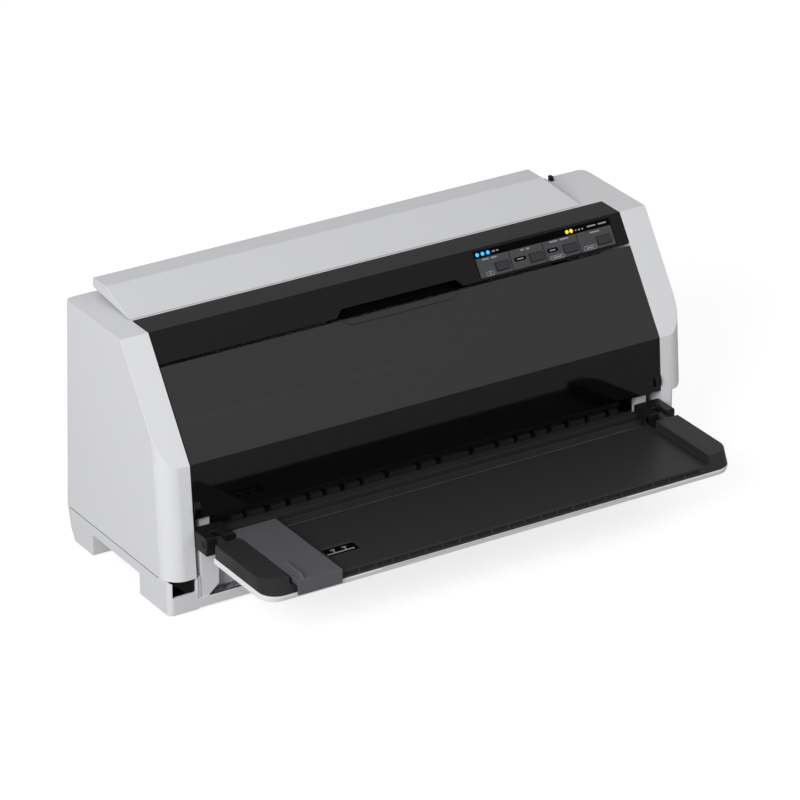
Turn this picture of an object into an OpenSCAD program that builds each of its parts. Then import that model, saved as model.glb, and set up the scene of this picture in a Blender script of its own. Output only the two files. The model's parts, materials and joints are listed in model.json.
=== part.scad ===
// Flat-bed dot matrix printer with a smoky front cover, a hinged paper tray and a rear paper guide.
// +X is the printer's right as seen from the front, -Y is the front, +Z is up, and the feet stand on Z = 0.
// Depths are measured from the front edge of the flat top; placed() then centres the whole on its footprint.

/* [Case] */
// Width of the case across its two cheeks
case_w = 480; // [460:5:540]
// Height of the case's flat top above the table
case_h = 208; // [206:1:222]
// Height of the seam between upper and lower case
seam_z = 28; // [27:0.5:30]
// Wall thickness of the moulded case
wall = 3; // [2.5:0.1:3.2]
// Width of each cheek beside the front opening
cheek_w = 24.5; // [24:0.5:27]
// Depth of the flat top from front edge to rear edge
top_d = 88.5; // [87:0.5:95]
// How far the rear wall leans out at the seam
rear_lean = 9.8; // [8:0.1:12]
// How far the bend in the front stands ahead of the top's front edge
bend_d = 60; // [58:0.5:64]
// Height of the bend in the front
bend_z = 121; // [118:1:126]
// How far the seam stands ahead of the bend
front_lean = 7.5; // [6:0.5:9]
// Radius of the case's upright front corners
corner_r = 16; // [12:1:18]
// Radius of the case's upright rear corners
rear_r = 7; // [3:0.5:8]

/* [Base] */
// Gap between the base and the table, taken up by the rubber feet
base_lift = 1; // [0.5:0.5:2]
// Height of the sill's top edge below the tray
sill_z = 10; // [9:0.5:13]
// Height of the hand grip's roof in each side
grip_h = 19; // [16:0.5:20]
// Depth of each hand grip from the side inwards
grip_d = 34; // [25:1:34]
// Radius of the rubber feet
foot_r = 9; // [6:0.5:10]

/* [Bezel and panel] */
// Depth of the bezel's strip on the flat top
bezel_top_d = 25.7; // [22:0.1:30]
// Height of the bezel along the slanted front
bezel_drop = 26; // [25.8:0.1:27]
// Thickness of the bezel
bezel_t = 3; // [2.6:0.1:3.4]
// Distance from the panel's right end to the front opening's side
panel_side = 11.5; // [10:0.5:20]
// Width of the panel
panel_w = 129; // [125:1:132]
// Width of a key
key_w = 12; // [8:0.5:14]
// Height of a key along the slant
key_h = 6.4; // [5.5:0.1:7.5]
// Spacing of the keys
key_pitch = 32; // [31.5:0.1:32.2]
// How far a key travels
key_travel = 1; // [0.5:0.1:1.2]
// Radius of the indicator lenses
lens_r = 1.6; // [1:0.1:1.8]

/* [Front cover] */
// Thickness of the smoky cover
cover_t = 2.5; // [2:0.1:3]
// Height of the cover's lower edge above the table
cover_low_z = 76; // [75:0.5:78]
// Gap between the bezel and the cover
cover_gap = 2.2; // [1.5:0.1:3]
// Radius of the cover's hinge pins
hinge_pin_r = 3; // [2:0.1:3.5]

/* [Paper tray] */
// Gap between the tray and the side of the front opening
tray_side = 2.7; // [1.5:0.1:5]
// How far the tray stands ahead of the top's front edge
tray_front = 170.5; // [160:0.5:200]
// How far the edge guide's lip stands ahead of the tray
guide_lip = 2.5; // [2:0.1:4]
// Height of the tray's side borders
border_z = 66.5; // [65:0.1:67.5]
// Height of the tray's paper floor
floor_z = 60; // [59:0.1:60.5]
// Height of the joint between the tray and its underside
skin_z = 54.5; // [53:0.1:56]
// Thickness of the tray's underside skin
skin_t = 5; // [4:0.5:8]
// Radius of the tray's front corners
tray_r = 15; // [10:1:24]
// Width of each side border
border_w = 21.8; // [20:0.1:23]
// Width of the edge guide
guide_w = 38.5; // [25:0.5:45]

/* [Rear paper guide] */
// Height of the rear guide above the flat top
rear_guide_h = 14; // [12:0.5:16]
// Depth of the rear guide from front to rear
rear_guide_d = 57.5; // [52:0.5:58]

/* [Print mechanism] */
// Radius of the platen roller
platen_r = 14; // [12:0.5:14]
// Radius of the platen shaft
shaft_r = 4; // [3:0.1:5]
// Radius of the carriage's guide shaft
rod_r = 5; // [4:0.1:6]
// Gear module, the pitch diameter for each tooth
gear_m = 1; // [0.96:0.01:1.01]
// Width of the gears
gear_w = 6; // [4:0.5:7]
// Radius of the timing pulleys where the belt runs
pulley_r = 7.7; // [6:0.1:8.5]
// Thickness of the timing belt
belt_t = 1.2; // [0.8:0.1:1.5]
// Thickness of the steel side frames
frame_t = 1.5; // [1:0.1:2]
// Radius of the paper feed knob
knob_r = 17; // [12:0.5:18]
// Depth of the knob's recess in the right cheek
recess_d = 9; // [8:0.1:9.5]

/* [Clearances] */
// Gap between moving mouldings
gap = 0.4; // [0.3:0.05:0.6]
// Radial clearance of a running shaft
run = 0.05; // [0.02:0.01:0.1]
// Gap between seated mouldings
seat = 0.2; // [0.1:0.05:0.3]

/* [Hidden] */
$fn = 48;
e = 0.01;                                   // overlap of a cut past the face it opens

// case outline
half_w = case_w / 2;
open_half = half_w - cheek_w;               // half width of the front opening
rear_y = top_d + rear_lean;
front_y = -bend_d - front_lean;
slant = atan2(case_h - bend_z, bend_d);     // slope of the slanted front above the table
lower_lean = atan2(front_lean, bend_z - seam_z);
frame_y = (tray_front + guide_lip - rear_y) / 2;
cheek_t = 2;                                // wall between cheek and opening
base_front_y = front_y + 0.5;
base_corner_r = 5;

// the mechanism hangs on the platen's axis
paper_z = floor_z + 2;                      // height of the paper path
platen_y = 8;
platen_z = paper_z - platen_r;
frame_x = open_half - 17;                   // inner face of the side frames
frame_out = frame_x + frame_t;
spread = frame_x / 198.5;                   // share by which places across the printer move with its width
platen_teeth = 48;
pinion_teeth = 14;
tractor_teeth = 36;
motor_y = platen_y + gear_m * (platen_teeth + pinion_teeth) / 2;
motor_z = platen_z;
drive_angle = 1.5 * 360 / pinion_teeth;     // from the feed motor up to the tractor shaft
drive_dist = gear_m * (tractor_teeth + pinion_teeth) / 2;
tractor_y = motor_y + drive_dist * cos(drive_angle);
tractor_z = motor_z + drive_dist * sin(drive_angle);
gear_x = -frame_out - 3.5 - gear_w;         // outer face of the gears
pan_z = 8;                                  // top of the base's floor
pan_t = 3;
chassis_z = pan_z + 4;
chassis_t = 1.5;
rod_y = platen_y + 22;
rod_z = paper_z + 30;
rail_y = platen_y - 32;
plate_z = rod_z + 10;                       // top plate of the carriage, where it slides on the front rail
cross_z = plate_z;
belt_y = rod_y + 28;
belt_x = frame_x - 13.5;                    // distance of the idler pulley from the middle
belt_z = cross_z + 4;
belt_h = 6;
motor_x = -frame_x + 20.5;                  // carriage motor
carriage_x = frame_x - 66.5;                // parked at the right

// cover
cover_half = open_half - 0.6;
cover_top_s = bezel_drop + cover_gap;
hinge_y = -57;
hinge_z = cover_low_z + 8;

// tray
tray_half_w = open_half - tray_side;
block_in = tray_half_w - border_w + gap / 2;
block_out = open_half - seat;
block_top = paper_z + 6;
block_front = -83;
block_rear = -60;
tray_pin_y = -79;
tray_pin_z = floor_z + 1.5;
tray_pin_r = 2.5;
tray_rear = -82;
border_rear = -91;
lip_y = -tray_front + 4;                    // depth of the slots under the tray's front lip
ear_x = (block_in + block_out) / 2;
ear_w = 6;

// panel layout on the slant
panel_x = open_half - panel_side - panel_w; // left end
panel_s = 2.2;
strip_h = 6;
panel_end_s = 24.8;
panel_t = 1.3;
pocket_t = 1.5;
keys_s = 18.2;
first_key_x = panel_x + key_w / 2 + (panel_w - 3 * key_pitch - key_w) * 0.795;

// rear guide
guide_left = -half_w + 23;
guide_right = half_w - 57;
rear_guide_y = top_d - 4.5;
rear_guide_z = case_h + gap;
flap_pin_y = rear_guide_y - 6.5;
flap_pin_z = case_h + 7.2;

// places on the slanted and the lower front
function slant_at(s) = [-s * cos(slant), case_h - s * sin(slant)];
function front_at(z) = -bend_d - (bend_z - z) * tan(lower_lean);
slant_in = [sin(slant), -cos(slant)];
lower_in = [cos(lower_lean), -sin(lower_lean)];
function bend_in(t) = [-bend_d, bend_z] + t * (slant_in + lower_in) / (1 + slant_in * lower_in);

module placed() { translate([0, frame_y, 0]) children(); }
// a profile drawn as [depth, height] and run along X
module along_x(x0, x1) { translate([x0, 0, 0]) rotate([90, 0, 90]) linear_extrude(x1 - x0) children(); }
module box(a, b) { translate(a) cube(b - a); }
module rod_x(x0, x1, y, z, r) { translate([x0, y, z]) rotate([0, 90, 0]) cylinder(h = x1 - x0, r = r); }
module both_sides() { for (m = [0, 1]) mirror([m, 0, 0]) children(); }
// local frame on the slanted front: x across, y up the slope, z outwards
module on_slant(x, s) {
    translate([x, -s * cos(slant), case_h - s * sin(slant)]) rotate([slant, 0, 0]) children();
}
module plan(half, y0, y1, r) {
    translate([-half, y0 + r]) square([2 * half, y1 - y0 - r]);
    translate([-half + r, y0]) square([2 * (half - r), r + e]);
    for (m = [-1, 1]) translate([m * (half - r), y0 + r]) circle(r);
}

// rounds the upright edge at the case's side that runs between two [depth, height] points
module corner_cut(a, b, r, half = half_w) {
    d = b - a;
    translate([half, a[0], a[1]]) rotate([-atan2(d[0], d[1]), 0, 0]) translate([0, 0, -4])
        linear_extrude(norm(d) + 8) difference() {
            translate([-r, -r]) square(r + 4);
            translate([-r, -r]) circle(r + 0.03);     // crosses both faces, as a tangent cut is fragile
        }
}

// rounds the cheek's edge along the lower front, at the depth t inside the wall
module front_round(t) {
    a = [-front_y - t / cos(lower_lean), seam_z];
    mirror([0, 1, 0]) corner_cut(a, a + 1.4 * [-front_lean, bend_z - seam_z], corner_r - t, half_w - t);
}

// ---- case ----
module case_profile(t) {
    polygon([[top_d - t, case_h - t], [t * tan((90 - slant) / 2), case_h - t], bend_in(t),
        [front_at(seam_z) + t / cos(lower_lean), seam_z - (t > 0 ? 1 : 0)],
        [rear_y - t, seam_z - (t > 0 ? 1 : 0)]]);
}
inlet_x = -half_w + 48;
inlet_w = 28;
inlet_z = 32;
inlet_h = 22;
port_z = seam_z + 2;
// left edge, width and height of each socket
ports = [[20 * spread, 60, 13], [92 * spread, 14, 12], [116 * spread, 32, 12]];
lever_x = frame_out + 3.5;
lever_w = 3;
slot_left = -frame_x + 43.5;
slot_right = frame_x - 18.5;
lever_slot_h = 53;                          // how far the lever's slot reaches down the rear wall
rear_slot_z = tractor_z + 4;
rear_slot_h = 17;
screw_x = half_w - 24;
screw_z = seam_z + 8;
screw_sink = 2;
recess_top = platen_z + knob_r + 9;
recess_round = recess_d;
recess_rear = platen_y + knob_r + 15;

module upper_case() color([0.84, 0.84, 0.85]) placed() {
    upper_shell();
    rear_ears();
}
module upper_shell() difference() {
    along_x(-half_w, half_w) case_profile(0);
    both_sides() front_round(0);
    both_sides() corner_cut([rear_y, seam_z], [top_d, case_h], rear_r);
    // front opening, from the seam up over the bezel's seat
    box([-open_half, front_y - 1, seam_z - 1], [open_half, bezel_top_d, case_h + 1]);
    // hollow behind the opening and in the cheeks
    intersection() {
        difference() {
            along_x(-half_w + wall, half_w - wall) case_profile(wall);
            both_sides() front_round(wall);
        }
        union() {
            box([-half_w, bezel_top_d + wall, 0], [half_w, rear_y, case_h]);
            box([-open_half, bezel_top_d - 1, 0], [open_half, bezel_top_d + wall + e, case_h]);
            both_sides() box([open_half + cheek_t, front_y, 0], [half_w, bezel_top_d + wall + e, case_h]);
        }
        union() {
            linear_extrude(case_h) plan(half_w - wall - recess_d, front_y + wall, rear_y + 1, corner_r - wall);
            box([-half_w, front_y, 0], [0, rear_y, case_h]);
            box([0, front_y, recess_top + recess_round], [half_w, rear_y, case_h]);
            box([0, recess_rear + wall, 0], [half_w, rear_y, case_h]);
        }
    }
    // recess for the feed knob
    translate([0, recess_rear, 0]) rotate([90, 0, 0]) linear_extrude(recess_rear - front_y + 1) difference() {
        translate([half_w - recess_d, 0]) square([recess_d + 1, recess_top + recess_round]);
        translate([half_w - recess_round, recess_top + recess_round]) circle(recess_round);
    }
    difference() {
        box([half_w - corner_r - recess_d, front_y - 1, 0], [half_w, recess_rear, recess_top]);
        linear_extrude(recess_top + 1) plan(half_w - recess_d, front_y, rear_y, corner_r);
    }
    rod_x(open_half - 1, half_w, platen_y, platen_z, shaft_r + 1);
    // cover hinge pins
    both_sides() rod_x(open_half - 1, open_half + cheek_t + 1, hinge_y, hinge_z, hinge_pin_r + run / 2);
    // top slot under the rear guide, and the lever's slot
    box([-slot_right, 50, case_h - wall - 1], [slot_right, 72, case_h + 1]);
    box([lever_x - 1, lever_tip[0] - 4, case_h - lever_slot_h], [lever_x + lever_w + 1, rear_y, case_h + 1]);
    // rear wall: fan-fold slot, inlet, sockets and screws
    box([slot_left, top_d - 6, rear_slot_z], [slot_right, rear_y + 1, rear_slot_z + rear_slot_h]);
    box([inlet_x, top_d - 6, inlet_z], [inlet_x + inlet_w, rear_y + 1, inlet_z + inlet_h]);
    for (p = ports) box([p[0], top_d - 6, port_z - 1], [p[0] + p[1], rear_y + 1, port_z + p[2]]);
    both_sides() translate([screw_x, rear_y + 1, screw_z]) rotate([90, 0, 0]) {
        cylinder(h = 12, r = 1.7);
        cylinder(h = 1 + screw_sink, r = 3.8);
    }
}
module rear_ears() {
    for (x = flap_ears) difference() {
        along_x(x, x + 3) union() {
            translate([flap_pin_y, flap_pin_z]) circle(3.4);
            translate([flap_pin_y - 3.4, case_h - 1]) square([6.8, flap_pin_z - case_h + 1]);
        }
        rod_x(x - 1, x + 4, flap_pin_y, flap_pin_z, 1.5 + run / 2);
    }
}

foot_in = open_half - 1.5;                  // inner face of the four foot blocks
front_foot_rear = -21;
rear_foot_front = 53.4;
rear_tip = [[rear_y, seam_z], [rear_y - 5.1, 8.2], [rear_y - 9.7, base_lift]];
column = [foot_in - 19, foot_in - 3];       // inner and outer face of the columns below the hinge blocks
column_front = base_front_y + 1.2;
tab = [column[0] + 2, column[1] - 5];       // tabs that steady the cover's lower corners
tab_front = block_rear + 4;
tab_top = block_top + 3;
wall_y = -52;                               // front wall below the paper entry
window = [-half_w + 3.5, -half_w + 24, 15.8]; // switch window: left, right, bottom
module base_profile(t) {
    polygon([[base_front_y + t, (t > 0 ? pan_z : base_lift)], [base_front_y + t, seam_z + (t > 0 ? 1 : 0)],
        [rear_y - t, seam_z + (t > 0 ? 1 : 0)], [rear_tip[1][0] - t, max(rear_tip[1][1], t > 0 ? pan_z : 0)],
        if (t == 0) rear_tip[2]]);
}
module lower_case() color([0.82, 0.82, 0.84]) placed() {
    difference() {
        intersection() {
            along_x(-half_w, half_w) base_profile(0);
            linear_extrude(seam_z) plan(half_w, base_front_y, rear_y + 1, base_corner_r);
        }
        both_sides() corner_cut(rear_tip[1], rear_tip[0], rear_r);
        both_sides() corner_cut(rear_tip[2], rear_tip[1], rear_r);
        intersection() {
            along_x(-half_w + wall, half_w - wall) base_profile(wall);
            union() {
                box([-half_w, -70, pan_z], [half_w - recess_d - wall, rear_y, seam_z + 2]);
                box([0, recess_rear + wall, pan_z], [half_w, rear_y, seam_z + 2]);
                box([0, -70, pan_z], [half_w, rear_y, seam_z - wall]);
            }
        }
        // hollow below the floor, between the foot blocks
        box([-foot_in, base_front_y + wall, -1], [foot_in, rear_tip[2][0] - wall, pan_z - pan_t]);
        box([-foot_in, base_front_y - 1, -1], [foot_in, rear_y, 2]);
        // hand grips
        both_sides() box([half_w - grip_d, front_foot_rear, -1], [half_w + 1, rear_foot_front, grip_h]);
        both_sides() box([foot_in - 30, front_foot_rear, -1],
            [half_w - grip_d + e, rear_foot_front, pan_z - pan_t]);
        // open front above the sill
        box([-foot_in, base_front_y - 1, sill_z], [foot_in, base_front_y + wall + 1, seam_z + 1]);
        // power switch window and rubber foot sockets
        box([window[0], base_front_y - 1, window[2]], [window[1], base_front_y + wall + 1, seam_z + 1]);
        foot_places() translate([0, 0, -1]) cylinder(h = 1 + base_lift + 2, r = foot_r + seat);
        both_sides() translate([screw_x, rear_y, screw_z]) rotate([90, 0, 0]) cylinder(h = 20, r = 1.4);
    }
    // grip shells
    both_sides() difference() {
        box([half_w - grip_d - wall, front_foot_rear - wall, pan_z - pan_t],
            [half_w - wall + e, rear_foot_front + wall, grip_h + wall]);
        box([half_w - grip_d, front_foot_rear, 0], [half_w, rear_foot_front, grip_h]);
    }
    // front wall, the columns that carry the hinge blocks, chassis bosses and screw tabs
    box([-column[0] - 1, wall_y, pan_z - e], [column[0] + 1, wall_y + wall, skin_z - 0.5]);
    both_sides() {
        box([foot_in - 2.5, base_front_y + 0.6, pan_z - e], [foot_in, wall_y, seam_z]);
        translate([0, wall_y + wall, 0]) rotate([90, 0, 0]) linear_extrude(wall_y + wall - column_front)
            polygon([[column[1], pan_z - e], [column[1], block_top - 15], [column[0], block_top - 15],
                [column[0], sill_z + 8], [column[0] + 9, sill_z], [column[0] + 9, pan_z - e]]);
        box([column[0], wall_y, pan_z - e], [column[1], wall_y + wall, block_top - 15]);
        box([tab[0], tab_front, block_top - 15 - e], [tab[1], wall_y + wall, tab_top]);
    }
    both_sides() for (y = [-40, 76]) translate([frame_x - 10, y, pan_z - e]) cylinder(h = 4 + e, r = 4);
    both_sides() difference() {
        box([screw_x - 6, rear_y - wall - 5, seam_z - 10], [screw_x + 6, rear_y - wall - 1.4, screw_z + 6]);
        translate([screw_x, rear_y, screw_z]) rotate([90, 0, 0]) cylinder(h = 20, r = 1.4);
    }
    // shelf below the power switch
    box([window[0] - 1, rocker_y + 4, pan_z - e], [window[1] + 1, base_front_y + 28, switch_z]);
}
module foot_places() {
    for (x = [-1, 1]) for (y = [base_front_y + 18, rear_tip[2][0] - 14])
        translate([x * (half_w + foot_in) / 2, y, 0]) children();
}
module rubber_feet() color([0.12, 0.12, 0.12]) placed() foot_places() difference() {
    cylinder(h = base_lift + 2, r = foot_r);
    translate([0, 0, -e]) cylinder(h = 0.6, r = foot_r - 3);
}
module case_screws() color([0.6, 0.6, 0.62]) placed() both_sides()
    translate([screw_x, rear_y - screw_sink + 1.5, screw_z]) rotate([90, 0, 0]) difference() {
        union() {
            cylinder(h = 1.5, r = 3.4);
            cylinder(h = 9.5, r = 1.3);
        }
        for (a = [0, 90]) rotate([0, 0, a]) translate([-2.2, -0.4, -e]) cube([4.4, 0.8, 0.9]);
    }

// ---- bezel and control panel ----
notch_top = [-panel_x + 23.6, panel_x - 22.1];
notch_low = [-panel_x + 16.3, panel_x - 15.7];
notch_s = 19.8;
key_names_x = [for (i = [0:3]) first_key_x + i * key_pitch];
field_ends = [key_names_x[0] + 8.5, key_names_x[1] + 8, key_names_x[2] + 8.4];
board_h = -9.6;
module notch(h0, h1, low_s) {
    on_slant(0, 0) translate([0, 0, h0]) linear_extrude(h1 - h0)
        polygon([[notch_low[0], -low_s], [notch_top[0], -notch_s], [notch_top[1], -notch_s],
            [notch_low[1], -low_s]]);
}
module bezel_profile(t) {
    low = slant_at(bezel_drop);
    polygon([[bezel_top_d - seat, case_h], [0, case_h], low, low + t * slant_in,
        [t * tan((90 - slant) / 2), case_h - t], [bezel_top_d - seat, case_h - t]]);
}
module front_bezel() color([0.13, 0.13, 0.14]) placed() {
    difference() {
        along_x(-open_half + seat, open_half - seat) bezel_profile(bezel_t);
        notch(-bezel_t - 1, 1, bezel_drop + 1);
        on_slant(panel_x, panel_end_s) translate([0, 0, -pocket_t]) cube([panel_w, panel_end_s - panel_s, 5]);
        for (x = key_names_x) on_slant(x - key_w / 2 - 1, keys_s + key_h / 2 + 1) translate([0, 0, -5])
            cube([key_w + 2, key_h + 2, 9]);
    }
    // tongue under the case's top and the pocket behind the finger notch
    box([-open_half + 15, bezel_top_d - 4, case_h - wall - 2.2], [open_half - 15, bezel_top_d + 8,
        case_h - wall - seat]);
    difference() {
        on_slant(notch_low[0] - 3, bezel_drop) translate([0, 0, -10])
            cube([notch_low[1] - notch_low[0] + 6, bezel_drop - notch_s + 2.5, 10 - e]);
        notch(-8, 1, bezel_drop + 1);
        on_slant(notch_low[0] - 4, bezel_drop) translate([0, 0, -bezel_t + 0.5])
            cube([notch_low[1] - notch_low[0] + 8, bezel_drop, 20]);
    }
    // bosses for the panel's board
    for (x = [7, panel_w * 0.55, panel_w - 12]) on_slant(panel_x + x, 5.5)
        translate([0, 0, board_h + 1.6]) cylinder(h = -board_h - 1.6 - bezel_t + 0.2, r = 2.4);
}
module control_panel() color([0.32, 0.33, 0.34]) placed() difference() {
    on_slant(panel_x + seat, panel_end_s - seat) translate([0, 0, -pocket_t])
        cube([panel_w - 2 * seat, panel_end_s - panel_s - strip_h - seat, panel_t]);
    for (x = key_names_x) on_slant(x - key_w / 2 - gap, keys_s + key_h / 2 + gap) translate([0, 0, -5])
        cube([key_w + 2 * gap, key_h + 2 * gap, 9]);
    // grooves between the four key fields
    for (x = field_ends) on_slant(x, panel_end_s) translate([0, 0, -pocket_t + panel_t - 0.4])
        cube([0.7, panel_end_s, 2]);
}
blue_x = [for (i = [0:2]) panel_x + 3.5 + i * 5];
yellow_x = [for (i = [0:1]) key_names_x[2] + 1.4 + i * 4];
lens_s = panel_s + strip_h / 2;
module indicator_strip() color([0.03, 0.03, 0.035]) placed() difference() {
    on_slant(panel_x + seat, panel_s + strip_h) translate([0, 0, -pocket_t])
        cube([panel_w - 2 * seat, strip_h - seat, panel_t]);
    for (x = concat(blue_x, yellow_x)) on_slant(x, lens_s) translate([0, 0, -5])
        cylinder(h = 9, r = lens_r + run);
}
module lenses(xs) {
    for (x = xs) on_slant(x, lens_s) translate([0, 0, -pocket_t]) cylinder(h = panel_t + 0.1, r = lens_r);
}
module blue_indicators() color([0.05, 0.55, 0.95]) placed() lenses(blue_x);
module yellow_indicators() color([0.9, 0.85, 0.05]) placed() lenses(yellow_x);
module panel_board() color([0.1, 0.35, 0.2]) placed() {
    on_slant(panel_x + 4, panel_end_s - 1) translate([0, 0, board_h]) cube([panel_w - 8, 21, 1.6]);
    for (x = key_names_x) on_slant(x - 3, keys_s + 3) translate([0, 0, board_h + 1.5]) cube([6, 6, 1.4]);
}
module key(i) {
    on_slant(key_names_x[i] - key_w / 2, keys_s + key_h / 2) {
        translate([0, 0, -4]) cube([key_w, key_h, 5.3]);
        translate([key_w / 2, key_h / 2, board_h + 2.9 + key_travel + 0.4])
            cylinder(h = -board_h - 6.5 - key_travel, r = 1.6);
    }
}
module tear_off_button() color([0.2, 0.2, 0.21]) placed() key(0);
module line_feed_button() color([0.2, 0.2, 0.21]) placed() key(1);
module load_button() color([0.2, 0.2, 0.21]) placed() key(2);
module pause_button() color([0.2, 0.2, 0.21]) placed() key(3);

// ---- front cover ----
flange_t = 2;
flange_d = 12;
boss_x = cover_half - 6;
module cover_profile(t, low) {
    a = slant_at(cover_top_s);
    c = [front_at(low), low];
    polygon([a, [-bend_d, bend_z], c, c + t * lower_in, bend_in(t), a + t * slant_in]);
}
module front_cover() color([0.18, 0.18, 0.19, 0.75]) placed() difference() {
    union() {
        along_x(-cover_half, cover_half) cover_profile(cover_t, cover_low_z);
        both_sides() along_x(cover_half - flange_t, cover_half) cover_profile(flange_d, hinge_z);
        both_sides() rod_x(boss_x, cover_half, hinge_y, hinge_z, hinge_z - cover_low_z);
        // raised finger lip below the bezel's notch
        on_slant(0, 0) translate([0, 0, -e]) linear_extrude(1.6)
            polygon([[notch_top[0] - 2.6, -cover_top_s - 1], [notch_top[0] + 4.4, -cover_top_s - 5.5],
                [notch_top[1] - 8.9, -cover_top_s - 5.5], [notch_top[1] - 1.9, -cover_top_s - 1]]);
    }
    both_sides() rod_x(boss_x - 1, open_half, hinge_y, hinge_z, hinge_pin_r + run);
}
flap_ears = [guide_left + 67, guide_right - 36];
module hinge_pins() color([0.7, 0.7, 0.72]) placed() {
    both_sides() rod_x(boss_x + 1, open_half + cheek_t, hinge_y, hinge_z, hinge_pin_r);
    both_sides() rod_x(block_in + 0.5, block_out - 0.5, tray_pin_y, tray_pin_z, tray_pin_r);
    for (x = flap_ears) rod_x(x, x + 7, flap_pin_y, flap_pin_z, 1.5);
}

// ---- tray ----
module hinge_block() difference() {
    box([block_in, block_front, block_top - 15], [block_out, block_rear, block_top]);
    box([ear_x - ear_w / 2 - gap, block_front - 1, 0], [ear_x + ear_w / 2 + gap, tray_pin_y + 6.5, 99]);
    rod_x(block_in - 1, block_out + 1, tray_pin_y, tray_pin_z, tray_pin_r + run / 2);
}
module left_hinge_block() color([0.13, 0.13, 0.14]) placed() mirror([1, 0, 0]) hinge_block();
module right_hinge_block() color([0.13, 0.13, 0.14]) placed() hinge_block();
// tray outline between two heights, its front sloping back towards the top
module tray_slab(z0, z1, y0, y1, rear) hull() {
    translate([0, 0, z0]) linear_extrude(e) plan_round(tray_half_w, y0, rear, tray_r);
    translate([0, 0, z1 - e]) linear_extrude(e) plan_round(tray_half_w, y1, rear, tray_r);
}
module plan_round(half, y0, y1, r) {
    translate([-half, y0 + r]) square([2 * half, y1 - y0 - r]);
    for (m = [-1, 1]) translate([m * (half - r), y0 + r]) circle(r, $fn = 32);
}
module paper_tray() color([0.15, 0.15, 0.16]) placed() {
    difference() {
        tray_slab(skin_z, border_z, -tray_front + 0.7, -tray_front + 6.3, border_rear);
        box([-tray_half_w + border_w, -tray_front - 1, floor_z], [tray_half_w - border_w, 0, 99]);
        // shallow window for the paper scale
        box([scale_x, -tray_front + 28.5, floor_z - 1], [scale_x + 29, -tray_front + 41.5, 99]);
        // row of slots below the front lip
        for (i = [0:slot_n - 1]) box([slot_x + i * slot_pitch, -tray_front - 5, skin_z + 1.6],
            [slot_x + i * slot_pitch + slot_w, lip_y, skin_z + 3.7]);
    }
    box([-tray_half_w + border_w + gap, border_rear - 1, skin_z], [tray_half_w - border_w - gap, tray_rear,
        floor_z]);
    both_sides() difference() {
        union() {
            rod_x(ear_x - ear_w / 2, ear_x + ear_w / 2, tray_pin_y, tray_pin_z, 4.2);
            box([ear_x - ear_w / 2, border_rear - 4, tray_pin_z - 3.6], [ear_x + ear_w / 2, tray_pin_y,
                tray_pin_z + 3.6]);
        }
        rod_x(ear_x - 9, ear_x + 9, tray_pin_y, tray_pin_z, tray_pin_r + run);
    }
}
module tray_underside() color([0.88, 0.88, 0.89]) placed() difference() {
    tray_slab(skin_z - skin_t, skin_z - seat, -tray_front + 2, -tray_front, border_rear + 2);
    for (x = [-112.4, -71.9, -21.4, 18.9, 69, 109.5] * spread) translate([x, -tray_front - 1, skin_z - 1.4])
        rotate([-90, 0, 0]) cylinder(h = 4, r = 0.7);
    box([-tray_half_w + 8, -tray_front + 12, skin_z - skin_t - 1], [tray_half_w - 8, border_rear - 4,
        skin_z - skin_t + 3]);
}
guide_x = -tray_half_w + border_w + 2.8;
scale_x = guide_x + guide_w + 6.7;          // window for the paper scale
slot_w = 12.9;
slot_pitch = 14.9;
slot_x = guide_x + guide_w + 4;
slot_n = floor((tray_half_w - border_w - slot_x) / slot_pitch);
guide_front = -tray_front - guide_lip;
guide_top = floor_z + 5;
module edge_guide() color([0.31, 0.31, 0.33]) placed() {
    box([guide_x, guide_front, floor_z + gap], [guide_x + guide_w, tray_pin_y + 4.5, guide_top]);
    box([guide_x, guide_front, skin_z - 1.5], [guide_x + guide_w, -tray_front - gap, guide_top]);
    // raised fence near the outer front corner
    along_x(guide_x + 3.5, guide_x + 6) polygon([[-138, guide_top - 1], [-146, guide_top + 4],
        [guide_front + 7, guide_top + 4], [guide_front + 2, guide_top + 2], [guide_front, guide_top - 2],
        [guide_front + 1, guide_top - 3]]);
}
rib_x = [-173, -159, -138, -119.5, -102, -87, -71, -54, -31, -1, 18.5, 48, 71.5, 89.5, 106, 121, 138, 157, 177]
    * spread;
rib_l = [9, 14, 12, 12, 9, 10, 12, 18, 24, 12, 23, 18, 12, 10, 9, 11, 13, 14, 6] * spread;
entry_half = block_in - 0.3;
module entry_guide() color([0.14, 0.14, 0.15]) placed() {
    box([-entry_half, -66.6, skin_z - 0.5], [entry_half, -57, paper_z]);
    box([-entry_half, -72.4, skin_z - 0.5], [entry_half, platen_y - platen_r - 6, skin_z + 2.5]);
    box([-entry_half, -72.4, skin_z - 0.5], [entry_half, -71, paper_z - 2]);
    for (i = [0:len(rib_x) - 1]) box([rib_x[i], -50.5, skin_z + 2], [rib_x[i] + rib_l[i], -45, paper_z]);
    box([-entry_half, -40, skin_z + 2], [entry_half, platen_y - platen_r - 6, paper_z]);
}

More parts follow.
